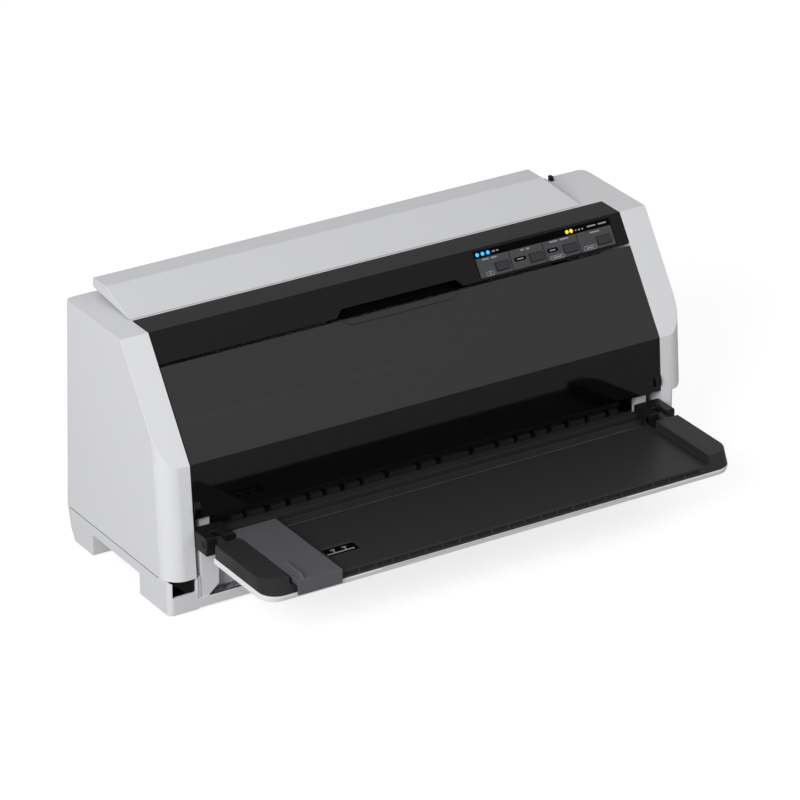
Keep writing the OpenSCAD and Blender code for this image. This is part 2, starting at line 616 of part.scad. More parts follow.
// ---- power switch ----
switch_z = window[2] + 0.2;
rocker_y = base_front_y + 9.5;
rocker_x = (window[0] + window[1]) / 2;
rocker_top = seam_z - 0.6;
rocker_tilt = 6;                            // the rocker rests with its left end pressed in
rocker_half = (window[1] - window[0]) / 2 - 1.3;
module power_rocker() color([0.05, 0.05, 0.05]) placed()
    translate([rocker_x, rocker_y + 1, 0]) rotate([0, 0, -rocker_tilt]) {
        difference() {
            union() {
                box([-rocker_half, -8, switch_z + gap], [rocker_half, -3.4, rocker_top]);
                box([-rocker_half, -4, switch_z + 1.6], [rocker_half, -1, rocker_top - 1.2]);
            }
            translate([0, -48, 0]) cylinder(h = seam_z + 5, r = 40.6, $fn = 96);
        }
        translate([0, 0, switch_z + 1.6]) cylinder(h = rocker_top - 2.8 - switch_z, r = 2.6);
        translate([0, 0, switch_z + 0.1]) cylinder(h = rocker_top - switch_z, r = 1.5);
    }
module power_switch_body() color([0.08, 0.08, 0.08]) placed() difference() {
    union() {
        box([window[0] - 0.4, rocker_y + 4, switch_z], [window[1] + 1, rocker_y + 18, seam_z - 0.2]);
        for (z = [switch_z, rocker_top - 0.8]) box([rocker_x - 3, rocker_y - 0.8, z],
            [rocker_x + 3, rocker_y + 4 + e, z + 1.2]);
    }
    translate([rocker_x, rocker_y + 1, -1]) cylinder(h = 99, r = 1.5 + run);
}

// ---- rear guide and lever ----
flap_x = [for (x = flap_ears) x + 3 + gap];
module flap_profile(t) {
    y0 = rear_guide_y - rear_guide_d;
    polygon([[y0 + 1.6 * t, rear_guide_z - (t > 0 ? 1 : 0)],
        [y0 + rear_guide_d - 20 + t / 5, case_h + rear_guide_h - t],
        [rear_guide_y - t, case_h + rear_guide_h - t], [rear_guide_y - t, flap_pin_z - 1 - (t > 0 ? 9 : 0)],
        if (t == 0) [rear_guide_y - 2, flap_pin_z - 1]]);
}
module flap_ends(right) {
    translate([0, rear_guide_y + 1, 0]) rotate([90, 0, 0]) linear_extrude(rear_guide_d + 2)
        polygon([[guide_left, 0], [guide_left, 400], [right, 400], [right, case_h + rear_guide_h],
            [right + rear_guide_h, case_h], [right + rear_guide_h, 0]]);
}
module rear_guide() color([0.78, 0.78, 0.79]) placed() {
    difference() {
        intersection() {
            along_x(guide_left, guide_right + rear_guide_h) flap_profile(0);
            flap_ends(guide_right);
        }
        along_x(guide_left + 2, guide_right - 3) flap_profile(2);
        for (x = flap_ears) box([x - gap, rear_guide_y - 3, 0], [x + 3 + gap, rear_guide_y + 1,
            case_h + rear_guide_h - 2]);
    }
    for (x = flap_x) difference() {
        along_x(x, x + 3) union() {
            translate([flap_pin_y, flap_pin_z]) circle(3.4);
            translate([flap_pin_y - 3.4, flap_pin_z]) square([6.8, case_h + rear_guide_h - 1 - flap_pin_z]);
        }
        rod_x(x - 1, x + 4, flap_pin_y, flap_pin_z, 1.5 + run);
    }
}
lever_y = 72;
lever_z = 100;
lever_tip = [top_d - 4.5, case_h + 3];
module release_lever() color([0.1, 0.1, 0.1]) placed() difference() {
    union() {
        rod_x(lever_x, lever_x + lever_w, lever_y, lever_z, 7);
        along_x(lever_x, lever_x + lever_w) polygon([[lever_y - 4, lever_z], [lever_y + 4, lever_z],
            lever_tip + [2, 0], lever_tip + [-2, 0]]);
    }
    rod_x(lever_x - 1, lever_x + lever_w + 1, lever_y, lever_z, 3 + run);
}

// ---- frames ----
module frame_plate() difference() {
    along_x(frame_x, frame_out) polygon([[-44, chassis_z + chassis_t], [-44, 70], [-28, rod_z + 22],
        [74, rod_z + 22], [82, rod_z], [82, chassis_z + chassis_t]]);
    rod_x(0, half_w, platen_y, platen_z, shaft_r + 3);
    rod_x(0, half_w, rod_y, rod_z, rod_r + run);
    rod_x(0, half_w, tractor_y, tractor_z, 5);
    rod_x(0, half_w, rail2_y, rail2_z, 4 + run);
}
rail2_y = tractor_y + 17;
rail2_z = tractor_z - 13;
module left_side_frame() color([0.66, 0.67, 0.69]) placed() mirror([1, 0, 0]) difference() {
    frame_plate();
    rod_x(0, half_w, motor_y, motor_z, 6);
}
module right_side_frame() color([0.66, 0.67, 0.69]) placed() {
    frame_plate();
    rod_x(frame_out - e, lever_x + lever_w + 0.8, lever_y, lever_z, 3);
}
module chassis_plate() color([0.6, 0.61, 0.63]) placed()
    box([-frame_out, -46, chassis_z], [frame_out, 83, chassis_z + chassis_t]);
module rear_paper_plate() color([0.55, 0.56, 0.58]) placed() {
    box([slot_left - 3, platen_y + platen_r + 1.5, paper_z - 4], [frame_x - 3, tractor_y - 15, paper_z - 2.5]);
    for (x = [slot_left - 3, frame_x - 6]) box([x, 26, chassis_z + chassis_t], [x + 3, 34, paper_z - 4 + e]);
}
module cross_plate() color([0.62, 0.63, 0.65]) placed() {
    difference() {
        box([-frame_x, 46.5, cross_z], [frame_x, 76, cross_z + 2]);
        translate([motor_x, belt_y, 0]) cylinder(h = 200, r = 4);
    }
    translate([belt_x, belt_y, cross_z + 1]) cylinder(h = belt_z + belt_h + 1.5 - cross_z - 1, r = 2);
}
module front_rail() color([0.62, 0.63, 0.65]) placed() {
    box([-frame_x, rail_y - 1, plate_z - 16], [frame_x, rail_y + 1, plate_z]);
    box([-frame_x, rail_y - 8, plate_z - 16], [frame_x, rail_y + 1, plate_z - 14.5]);
}

// ---- paper feed ----
module platen_roller() color([0.1, 0.1, 0.1]) placed() difference() {
    rod_x(-frame_x + 13.5, frame_x - 13.5, platen_y, platen_z, platen_r - 0.3);
    rod_x(-frame_x, frame_x, platen_y, platen_z, shaft_r + seat / 2);
}
module platen_shaft() color([0.75, 0.75, 0.77]) placed()
    rod_x(gear_x - 1, half_w - recess_d + 6, platen_y, platen_z, shaft_r);
module platen_bushes() color([0.8, 0.75, 0.55]) placed() both_sides() difference() {
    union() {
        rod_x(frame_x - 2.5, frame_out + 1.5, platen_y, platen_z, shaft_r + 3 - run);
        rod_x(frame_x - 2.5, frame_x - seat, platen_y, platen_z, shaft_r + 5);
    }
    rod_x(0, half_w, platen_y, platen_z, shaft_r + run);
}
module feed_knob() color([0.08, 0.08, 0.08]) placed() difference() {
    rod_x(half_w - recess_d + 0.6, half_w - 0.4, platen_y, platen_z, knob_r);
    rod_x(0, half_w - recess_d + 6 + seat, platen_y, platen_z, shaft_r + seat / 2);
    for (i = [0:23]) translate([0, platen_y, platen_z]) rotate([i * 15, 0, 0])
        rod_x(half_w - recess_d + 1.6, half_w + 1, 0, knob_r + 0.6, 1.3);
}
function tooth(n, k, turn) = let (p = 360 / n, a = turn + k * p, rp = gear_m * n / 2)
    [for (c = [[-0.33, rp - 1.2 * gear_m], [-0.22, rp], [-0.11, rp + 0.9 * gear_m], [0.11, rp + 0.9 * gear_m],
        [0.22, rp], [0.33, rp - 1.2 * gear_m]]) c[1] * [cos(a + c[0] * p), sin(a + c[0] * p)]];
// spur gear about X: its face starts at x0, with one tooth turned to the angle turn
module gear(x0, y, z, n, turn, bore) translate([x0, y, z]) rotate([90, 0, 90]) difference() {
    linear_extrude(gear_w) polygon([for (k = [0:n - 1]) each tooth(n, k, turn)]);
    translate([0, 0, -1]) cylinder(h = gear_w + 2, r = bore);
}
module platen_gear() color([0.85, 0.84, 0.8]) placed()
    gear(gear_x, platen_y, platen_z, platen_teeth, 0, shaft_r + run);
module feed_pinion() color([0.8, 0.7, 0.4]) placed()
    gear(gear_x, motor_y, motor_z, pinion_teeth, 180 / pinion_teeth, 2 + run);
module feed_motor() color([0.25, 0.25, 0.27]) placed() {
    rod_x(-frame_x, -frame_x + 32, motor_y, motor_z, 16);
    rod_x(-frame_out, -frame_x + 1, motor_y, motor_z, 5.8);
    rod_x(gear_x - 1, -frame_x + 1, motor_y, motor_z, 2);
}
module tractor_gear() color([0.85, 0.84, 0.8]) placed() difference() {
    gear(gear_x, tractor_y, tractor_z, tractor_teeth, drive_angle + 180 - 180 / tractor_teeth, 0.5);
    translate([gear_x - 1, tractor_y, tractor_z]) rotate([45, 0, 0]) square_bar(gear_w + 2, 6 + seat);
}
module square_bar(l, w) { translate([0, -w / 2, -w / 2]) cube([l, w, w]); }
module tractor_shaft() color([0.72, 0.72, 0.74]) placed() translate([gear_x - 1, tractor_y, tractor_z])
    rotate([45, 0, 0]) square_bar(frame_out + 1.5 - gear_x + 1, 6);
module tractor_rail() color([0.72, 0.72, 0.74]) placed() rod_x(-frame_out, frame_out, rail2_y, rail2_z, 4);

// ---- tractors, drawn about their own middle with the outer side at +x ----
tractor_x = [-110 * spread, 120 * spread];
lid_x = 10;
lid_reach = 6.2;                            // from the lid's hinge line to where it turns free of the ears
lid_z = tractor_z + 16.4;
module tractor_body() difference() {
    union() {
        rod_x(5, 8, tractor_y, tractor_z, 9);
        rod_x(5, 13, rail2_y, rail2_z, 7);
        along_x(5, 8) polygon([[tractor_y - 10, tractor_z + 14], [tractor_y + 12, tractor_z + 14],
            [rail2_y + 7, rail2_z], [rail2_y - 2, rail2_z - 7], [tractor_y - 9, tractor_z - 1]]);
        for (y = [tractor_y - 10, tractor_y + 9]) box([5, y, tractor_z + 10], [lid_x + 3, y + 3, lid_z + 2.6]);
    }
    rod_x(0, 20, tractor_y, tractor_z, 6);
    rod_x(0, 20, rail2_y, rail2_z, 4 + run);
    translate([lid_x, 0, lid_z]) rotate([-90, 0, 0]) cylinder(h = 200, r = 1.5 + run);
}
module tractor_cap() {
    difference() {
        box([-4.5, tractor_y - 10, lid_z - 1.5], [lid_x, tractor_y + 12, lid_z + 1.5]);
        for (y = [tractor_y - 11, tractor_y + 9 - gap]) box([lid_x - lid_reach, y, 0], [20, y + 4 + gap, 200]);
        box([-2, tractor_y - 8, 0], [2, tractor_y + 10, lid_z - 0.3]);
    }
    translate([lid_x, tractor_y - 7 + gap, lid_z]) rotate([-90, 0, 0]) cylinder(h = 16 - 2 * gap, r = 2.6);
    translate([lid_x, tractor_y - 9.8, lid_z]) rotate([-90, 0, 0]) cylinder(h = 21.6, r = 1.5);
}
module sprocket() difference() {
    union() {
        rod_x(-4, 4, tractor_y, tractor_z, 11.5);
        for (i = [0:7]) translate([0, tractor_y, tractor_z]) rotate([i * 45 + 22.5, 0, 0])
            translate([0, 0, 11]) cylinder(h = 2.6, r = 1.3);
    }
    translate([-9, tractor_y, tractor_z]) rotate([45, 0, 0]) square_bar(18, 6 + 2 * gap);
}
module on_left() translate([tractor_x[0], 0, 0]) mirror([1, 0, 0]) children();
module on_right() translate([tractor_x[1], 0, 0]) children();
module left_tractor() color([0.16, 0.16, 0.17]) placed() on_left() tractor_body();
module right_tractor() color([0.16, 0.16, 0.17]) placed() on_right() tractor_body();
module left_sprocket() color([0.85, 0.84, 0.8]) placed() on_left() sprocket();
module right_sprocket() color([0.85, 0.84, 0.8]) placed() on_right() sprocket();
module left_tractor_lid() color([0.16, 0.16, 0.17]) placed() on_left() tractor_cap();
module right_tractor_lid() color([0.16, 0.16, 0.17]) placed() on_right() tractor_cap();

// ---- carriage ----
module at_carriage() translate([carriage_x, 0, 0]) children();
module carriage() color([0.15, 0.15, 0.16]) placed() at_carriage() difference() {
    union() {
        box([-32, rod_y - 11, rod_z - 12], [32, rod_y + 10.5, plate_z + 2]);
        box([-40, rail_y - 2, plate_z + gap], [40, rod_y + 10.5, plate_z + 4]);
        box([-8, rod_y + 6, plate_z], [8, rod_y + 16, belt_z + belt_h + 1]);
        box([-8, rod_y + 15, belt_z - 1.4], [8, belt_y - 6, belt_z + belt_h + 1]);
    }
    rod_x(-50, 50, rod_y, rod_z, rod_r + run);
    box([-13, platen_y - 15, 0], [13, rod_y - 9, 200]);
    box([-9, belt_y - belt_r - belt_t - gap, belt_z - gap], [9, belt_y - belt_r + gap, 200]);
}
belt_r = pulley_r + 0.3;
module print_head() color([0.3, 0.3, 0.32]) placed() at_carriage() {
    box([-12, platen_y - 14, paper_z + 4], [12, platen_y + 12, plate_z + 4]);
    box([-5, platen_y - 6, paper_z + 2], [5, platen_y + 6, paper_z + 4 + e]);
    box([-14.6, platen_y - 14, plate_z + 4], [14.6, platen_y + 11, plate_z + 5.5]);
    for (i = [0:5]) box([-12, platen_y - 14 + i * 4.8, plate_z + 4 - e], [12, platen_y - 12 + i * 4.8, plate_z + 12]);
}
cart_z = plate_z + 4;
knob_at = [30, platen_y - 30];
module ribbon_cartridge() color([0.07, 0.07, 0.07]) placed() at_carriage() {
    difference() {
        box([-58, platen_y - 46, cart_z], [58, platen_y + 8, cart_z + 14]);
        box([-15, platen_y - 17, 0], [15, platen_y + 9, 200]);
        translate([knob_at[0], knob_at[1], 0]) cylinder(h = 200, r = 2.5 + run);
    }
    for (x = [-52, 44]) box([x, platen_y - 8, paper_z + 1], [x + 8, platen_y + 6, cart_z + e]);
    box([-50, platen_y - 4, paper_z + 1], [50, platen_y + 4, paper_z + 1.5]);
}
module ribbon_knob() color([0.4, 0.4, 0.42]) placed() at_carriage() translate([knob_at[0], knob_at[1], 0]) {
    translate([0, 0, cart_z + 2]) cylinder(h = 13, r = 2.5);
    translate([0, 0, cart_z + 14 + gap]) cylinder(h = 5, r = 8);
    translate([-1.2, -7, cart_z + 18]) cube([2.4, 14, 5]);
}
module guide_shaft() color([0.78, 0.78, 0.8]) placed() rod_x(-frame_out - 1, frame_out + 1, rod_y, rod_z, rod_r);
module carriage_motor() color([0.25, 0.25, 0.27]) placed() translate([motor_x, belt_y, 0]) {
    translate([0, 0, cross_z - 24]) cylinder(h = 24 - seat / 2, r = 16.8);
    translate([0, 0, cross_z - 1]) cylinder(h = belt_z + belt_h + 1 - cross_z, r = 1.5);
}
module pulley(x, bore) translate([x, belt_y, 0]) difference() {
    union() {
        translate([0, 0, belt_z]) cylinder(h = belt_h, r = pulley_r);
        translate([0, 0, belt_z - 1.2]) cylinder(h = 0.8, r = pulley_r + 1.5);
        translate([0, 0, belt_z - 1]) cylinder(h = 2, r = pulley_r - 1);
    }
    cylinder(h = 300, r = bore);
}
module motor_pulley() color([0.7, 0.7, 0.72]) placed() pulley(motor_x, 1.5 + run);
module idler_pulley() color([0.7, 0.7, 0.72]) placed() pulley(belt_x, 2 + run);
module loop(r) {
    for (x = [motor_x, belt_x]) translate([x, belt_y]) circle(r);
    translate([motor_x, belt_y - r]) square([belt_x - motor_x, 2 * r]);
}
module timing_belt() color([0.1, 0.1, 0.1]) placed() translate([0, 0, belt_z]) linear_extrude(belt_h) difference() {
    loop(belt_r + belt_t);
    loop(belt_r);
}

// ---- electronics ----
deck_z = chassis_z + chassis_t;
module main_board() color([0.1, 0.35, 0.2]) placed() {
    z0 = port_z - 0.4;
    box([-8 * spread, 28, z0 - 1.6], [184 * spread, 84, z0]);
    for (x = [-3, 179] * spread) for (y = [33, 79]) translate([x, y, deck_z])
        cylinder(h = z0 - 1.6 - deck_z + e, r = 3);
    for (p = ports) difference() {
        box([p[0] + 0.5, 74, z0 - e], [p[0] + p[1] - 0.5, rear_y - 1.4, port_z + p[2] - 0.5]);
        box([p[0] + 1.7, rear_y - 11, z0 + 1.2], [p[0] + p[1] - 1.7, rear_y, port_z + p[2] - 1.7]);
    }
    for (c = [[10, 34, 28], [50, 36, 20], [86, 34, 34], [140, 40, 24]])
        box([c[0] * spread, c[1], z0 - e], [(c[0] + c[2]) * spread, c[1] + 22, z0 + 3]);
    for (x = [8, 26, 150, 166] * spread) translate([x, 66, z0 - e]) cylinder(h = 11, r = 5);
}
module power_supply() color([0.72, 0.66, 0.42]) placed() {
    box([-150 * spread, 28, deck_z + 5], [-18 * spread, 82, deck_z + 6.6]);
    for (x = [-145, -23] * spread) for (y = [33, 77]) translate([x, y, deck_z]) cylinder(h = 5 + e, r = 3);
    box([-96 * spread, 36, deck_z + 6.5], [-58 * spread, 74, deck_z + 26]);
    for (x = [-134, -114] * spread) translate([x, 46, deck_z + 6.5]) cylinder(h = 22, r = 8);
    box([-48 * spread, 32, deck_z + 6.5], [-44 * spread, 78, deck_z + 24]);
    box([-34 * spread, 40, deck_z + 6.5], [-22 * spread, 60, deck_z + 18]);
}
module power_inlet() color([0.08, 0.08, 0.08]) placed() difference() {
    union() {
        box([inlet_x + 0.4, 81, inlet_z + 0.4], [inlet_x + inlet_w - 0.4, rear_y - 1.6, inlet_z + inlet_h - 0.4]);
        box([inlet_x + 2, 74, deck_z], [inlet_x + inlet_w - 2, 84, inlet_z + 1]);
    }
    box([inlet_x + 3, 83, inlet_z + 3], [inlet_x + inlet_w - 3, rear_y + 1, inlet_z + inlet_h - 3]);
}

upper_case();
lower_case();
rubber_feet();
case_screws();
front_bezel();
control_panel();
indicator_strip();
blue_indicators();
yellow_indicators();
panel_board();
tear_off_button();
line_feed_button();
load_button();
pause_button();
front_cover();
hinge_pins();
left_hinge_block();
right_hinge_block();
paper_tray();
tray_underside();
edge_guide();
entry_guide();
power_rocker();
power_switch_body();
rear_guide();
release_lever();
chassis_plate();
left_side_frame();
right_side_frame();
platen_roller();
platen_shaft();
platen_gear();
platen_bushes();
feed_knob();
feed_motor();
feed_pinion();
tractor_gear();
tractor_shaft();
tractor_rail();
left_tractor();
right_tractor();
left_sprocket();
right_sprocket();
left_tractor_lid();
right_tractor_lid();
carriage();
print_head();
ribbon_cartridge();
ribbon_knob();
guide_shaft();
front_rail();
cross_plate();
carriage_motor();
motor_pulley();
idler_pulley();
timing_belt();
main_board();
power_supply();
power_inlet();
rear_paper_plate();
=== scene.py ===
import json
import math

import bmesh
import bpy
import numpy as np
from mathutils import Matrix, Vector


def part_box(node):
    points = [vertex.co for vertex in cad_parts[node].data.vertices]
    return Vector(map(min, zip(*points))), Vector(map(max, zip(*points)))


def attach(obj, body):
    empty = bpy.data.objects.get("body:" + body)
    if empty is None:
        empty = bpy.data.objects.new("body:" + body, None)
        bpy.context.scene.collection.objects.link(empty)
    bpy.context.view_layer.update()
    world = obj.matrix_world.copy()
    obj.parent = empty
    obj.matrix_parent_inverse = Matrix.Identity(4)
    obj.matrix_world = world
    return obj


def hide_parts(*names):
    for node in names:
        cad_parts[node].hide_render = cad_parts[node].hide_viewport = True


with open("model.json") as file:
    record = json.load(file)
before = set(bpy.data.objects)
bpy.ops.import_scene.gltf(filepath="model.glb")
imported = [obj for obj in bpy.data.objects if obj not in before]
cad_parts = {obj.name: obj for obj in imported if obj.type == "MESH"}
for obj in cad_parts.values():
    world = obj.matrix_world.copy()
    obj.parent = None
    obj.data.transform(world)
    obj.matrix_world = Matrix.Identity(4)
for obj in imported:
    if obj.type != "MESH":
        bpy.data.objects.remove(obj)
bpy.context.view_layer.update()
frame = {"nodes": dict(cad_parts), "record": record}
nodes = frame["nodes"]
mm = 0.001
print("frame loaded:", len(nodes), "nodes")

# Places on the case, read from the frame. Lengths that this script names itself are in mm.
caseLow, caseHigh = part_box("upper_case")
bezelLow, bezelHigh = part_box("front_bezel")
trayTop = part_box("paper_tray")[1].z
slant = {"high": 87.0, "deep": 60.0, "bezelLong": 26.0}  # the slanted front down to its bend, and the bezel
slantAngle = math.atan2(slant["high"], slant["deep"])
slantCos, slantSin = math.cos(slantAngle), math.sin(slantAngle)
topZ = bezelHigh.z                                       # flat top of the case
edgeY = bezelLow.y + slant["bezelLong"] * mm * slantCos  # front edge of the flat top


def slantPoint(x, s, h):
    # the point at x, s down the slanted front from the top's front edge and h out of it, given in mm:
    # y = edge - s cos a - h sin a, z = top - s sin a + h cos a
    x, s, h = np.broadcast_arrays(np.asarray(x, float), np.asarray(s, float), np.asarray(h, float))
    y = edgeY - (s * slantCos + h * slantSin) * mm
    z = topZ - (s * slantSin - h * slantCos) * mm
    return np.stack([x * mm, y, z], -1)


# Effects that the finishes share
effects = {
    "grainDetail": 2.0, "grainDepth": 0.2,               # mm of bump where a finish has grain 1
    "wander": 0.06, "wanderScale": 22.0, "wanderDetail": 3.0,
    "toneScale": 9.0, "toneDetail": 2.0, "noiseMiddle": 0.5,
}


def addNode(tree, kind, values=None, operation=None):
    node = tree.nodes.new("ShaderNode" + kind)
    if operation:
        node.operation = operation
    for label, value in (values or {}).items():
        node.inputs[label].default_value = value
    return node


def newGroup(name, inputs, outputs):
    group = bpy.data.node_groups.new(name, "ShaderNodeTree")
    for label, kind, value in inputs:
        socket = group.interface.new_socket(label, in_out="INPUT", socket_type=kind)
        socket.default_value = value
    for label, kind in outputs:
        group.interface.new_socket(label, in_out="OUTPUT", socket_type=kind)
    return group, group.nodes.new("NodeGroupInput"), group.nodes.new("NodeGroupOutput")


def makeGrainGroup():
    # moulded grain: fine noise as a height, and a roughness that wanders with slow noise,
    # roughness + wander (noise - middle)
    group, given, result = newGroup(
        "mouldedGrain",
        [("Scale", "NodeSocketFloat", 900.0), ("Roughness", "NodeSocketFloat", 0.45),
         ("Wander", "NodeSocketFloat", effects["wander"])],
        [("Height", "NodeSocketFloat"), ("Roughness", "NodeSocketFloat")])
    link = group.links.new
    coord = addNode(group, "TexCoord")
    fine = addNode(group, "TexNoise", {"Detail": effects["grainDetail"]})
    slow = addNode(group, "TexNoise", {"Scale": effects["wanderScale"], "Detail": effects["wanderDetail"]})
    shift = addNode(group, "Math", {1: effects["noiseMiddle"]}, "SUBTRACT")
    spread = addNode(group, "Math", operation="MULTIPLY_ADD")
    link(coord.outputs["Object"], fine.inputs["Vector"])
    link(coord.outputs["Object"], slow.inputs["Vector"])
    link(given.outputs["Scale"], fine.inputs["Scale"])
    link(slow.outputs["Fac"], shift.inputs[0])
    link(shift.outputs[0], spread.inputs[0])
    link(given.outputs["Wander"], spread.inputs[1])
    link(given.outputs["Roughness"], spread.inputs[2])
    link(fine.outputs["Fac"], result.inputs["Height"])
    link(spread.outputs[0], result.inputs["Roughness"])
    return group


def makeToneGroup():
    # slow tone: the base colour drifts a little lighter and darker over the piece,
    # colour times 1 + amount (noise - middle)
    group, given, result = newGroup(
        "slowTone",
        [("Color", "NodeSocketColor", (0.5, 0.5, 0.5, 1)), ("Amount", "NodeSocketFloat", 0.04),
         ("Scale", "NodeSocketFloat", effects["toneScale"])],
        [("Color", "NodeSocketColor")])
    link = group.links.new
    coord = addNode(group, "TexCoord")
    noise = addNode(group, "TexNoise", {"Detail": effects["toneDetail"]})
    shift = addNode(group, "Math", {1: effects["noiseMiddle"]}, "SUBTRACT")
    gain = addNode(group, "Math", {2: 1.0}, "MULTIPLY_ADD")
    scale = addNode(group, "VectorMath", operation="SCALE")
    link(coord.outputs["Object"], noise.inputs["Vector"])
    link(given.outputs["Scale"], noise.inputs["Scale"])
    link(noise.outputs["Fac"], shift.inputs[0])
    link(shift.outputs[0], gain.inputs[0])
    link(given.outputs["Amount"], gain.inputs[1])
    link(given.outputs["Color"], scale.inputs[0])
    link(gain.outputs[0], scale.inputs["Scale"])
    link(scale.outputs[0], result.inputs["Color"])
    return group


grainGroup = makeGrainGroup()
toneGroup = makeToneGroup()

finishes = {  # linear colour, roughness, grain height and scale, tone drift, metal and mirror level
    "caseGrey": dict(color=(0.70, 0.705, 0.725), rough=0.45, grain=0.08, scale=1500, tone=0.02, spec=0.35),
    "baseGrey": dict(color=(0.68, 0.685, 0.705), rough=0.45, grain=0.08, scale=1500, tone=0.02, spec=0.35),
    "guideGrey": dict(color=(0.655, 0.66, 0.68), rough=0.45, grain=0.08, scale=1500, tone=0.02, spec=0.35),
    "undersideWhite": dict(color=(0.82, 0.82, 0.83), rough=0.40, grain=0.05, scale=1500, tone=0.02),
    "bezelBlack": dict(color=(0.009, 0.009, 0.010), rough=0.26, grain=0.02, scale=1800, tone=0.05, spec=0.20),
    "trayBlack": dict(color=(0.024, 0.024, 0.025), rough=0.34, grain=0.12, scale=1600, tone=0.08, spec=0.24),
    "blockBlack": dict(color=(0.010, 0.010, 0.011), rough=0.32, grain=0.12, scale=1600, tone=0.08, spec=0.25),
    "guideMid": dict(color=(0.092, 0.093, 0.101), rough=0.36, grain=0.12, scale=1600, tone=0.04, spec=0.40),
    "panelGrey": dict(color=(0.062, 0.064, 0.067), rough=0.48, grain=0.05, scale=1600, tone=0.04, spec=0.25),
    "stripBlack": dict(color=(0.001, 0.001, 0.001), rough=0.25, grain=0.0, scale=1500, tone=0.0, spec=0.06),
    "keyBlack": dict(color=(0.034, 0.035, 0.037), rough=0.38, grain=0.08, scale=1600, tone=0.04, spec=0.30),
    "feetRubber": dict(color=(0.015, 0.015, 0.015), rough=0.75, grain=0.3, scale=900, tone=0.1),
    "rollerRubber": dict(color=(0.012, 0.012, 0.012), rough=0.55, grain=0.2, scale=1200, tone=0.1),
    "frameSteel": dict(color=(0.52, 0.53, 0.55), rough=0.34, grain=0.04, scale=1200, tone=0.06, metal=1.0),
    "brightSteel": dict(color=(0.72, 0.72, 0.74), rough=0.16, grain=0.01, scale=1200, tone=0.03, metal=1.0),
    "boardGreen": dict(color=(0.010, 0.090, 0.035), rough=0.35, grain=0.05, scale=900, tone=0.10),
    "supplyBoard": dict(color=(0.36, 0.26, 0.10), rough=0.45, grain=0.05, scale=900, tone=0.10),
    "whiteAcetal": dict(color=(0.74, 0.72, 0.66), rough=0.35, grain=0.03, scale=1200, tone=0.03),
    "pinionBrass": dict(color=(0.72, 0.50, 0.20), rough=0.25, grain=0.02, scale=1200, tone=0.04, metal=1.0),
    "motorBlack": dict(color=(0.020, 0.020, 0.022), rough=0.40, grain=0.06, scale=1200, tone=0.08),
    "headAlloy": dict(color=(0.16, 0.16, 0.17), rough=0.42, grain=0.06, scale=900, tone=0.08, metal=1.0),
    "innerBlack": dict(color=(0.010, 0.010, 0.011), rough=0.40, grain=0.10, scale=1500, tone=0.08, spec=0.22),
    "beltRubber": dict(color=(0.012, 0.012, 0.012), rough=0.65, grain=0.1, scale=1500, tone=0.1),
    "windKnob": dict(color=(0.040, 0.040, 0.043), rough=0.40, grain=0.10, scale=1500, tone=0.05),
    "pinSteel": dict(color=(0.030, 0.030, 0.032), rough=0.40, grain=0.04, scale=1200, tone=0.04, metal=1.0),
    "rockerBlack": dict(color=(0.007, 0.007, 0.0075), rough=0.34, grain=0.04, scale=1500, tone=0.03, spec=0.1),
    "seamGrey": dict(color=(0.055, 0.055, 0.058), rough=0.7, grain=0.0, scale=1500, tone=0.0, spec=0.05),
    "markGrey": dict(color=(0.30, 0.30, 0.31), rough=0.55, grain=0.0, scale=1500, tone=0.0, spec=0.1),
    # black for printed marks, and for painted shade in the panel's gap and grooves, the bezel's recess and
    # lower edge and the cover's upper edge
    "printAndShadeBlack": dict(color=(0.001, 0.001, 0.001), rough=0.5, grain=0.0, scale=1500, tone=0.0, spec=0.05),
}


def newMaterial(name, values):
    # a material whose shader has plain values in the named sockets
    mat = bpy.data.materials.new(name)
    mat.use_nodes = True
    shader = mat.node_tree.nodes["Principled BSDF"]
    for label, value in values.items():
        shader.inputs[label].default_value = value
    return mat


def mouldedMaterial(name, color, rough, grain, scale, tone, metal=0.0, spec=0.5):
    # a finish takes its drift and its grain from the shared groups, and plain values where it has neither
    mat = newMaterial(name, {"Base Color": (*color, 1), "Metallic": metal, "Roughness": rough,
                             "Specular IOR Level": spec})
    tree = mat.node_tree
    shader = tree.nodes["Principled BSDF"]
    if tone:
        shade = tree.nodes.new("ShaderNodeGroup")
        shade.node_tree = toneGroup
        shade.inputs["Color"].default_value = (*color, 1)
        shade.inputs["Amount"].default_value = tone
        tree.links.new(shade.outputs["Color"], shader.inputs["Base Color"])
    if grain:
        texture = tree.nodes.new("ShaderNodeGroup")
        texture.node_tree = grainGroup
        texture.inputs["Scale"].default_value = scale
        texture.inputs["Roughness"].default_value = rough
        bump = addNode(tree, "Bump", {"Strength": grain, "Distance": effects["grainDepth"] * mm})
        tree.links.new(texture.outputs["Height"], bump.inputs["Height"])
        tree.links.new(bump.outputs["Normal"], shader.inputs["Normal"])
        tree.links.new(texture.outputs["Roughness"], shader.inputs["Roughness"])
    return mat


smoky = {  # one smoky plastic in two copies: the lit copy above the bend is less clear, with a lighter tint and a stronger mirror level as painted sheen; the shaded copy below it is clearer, with a darker tint as painted shade
    "above": dict(tint=0.028, clear=0.30, mirror=0.85), "below": dict(tint=0.010, clear=0.92, mirror=0.06),
    "blue": 1.03,                                        # blue against red and green in the tint
    "rough": 0.06, "index": 1.46, "bendZ": 121.0,
}


def smokyMaterial(name, tint, clear, mirror):
    return newMaterial(name, {
        "Base Color": (tint, tint, tint * smoky["blue"], 1), "Transmission Weight": clear,
        "Specular IOR Level": mirror, "IOR": smoky["index"], "Roughness": smoky["rough"]})


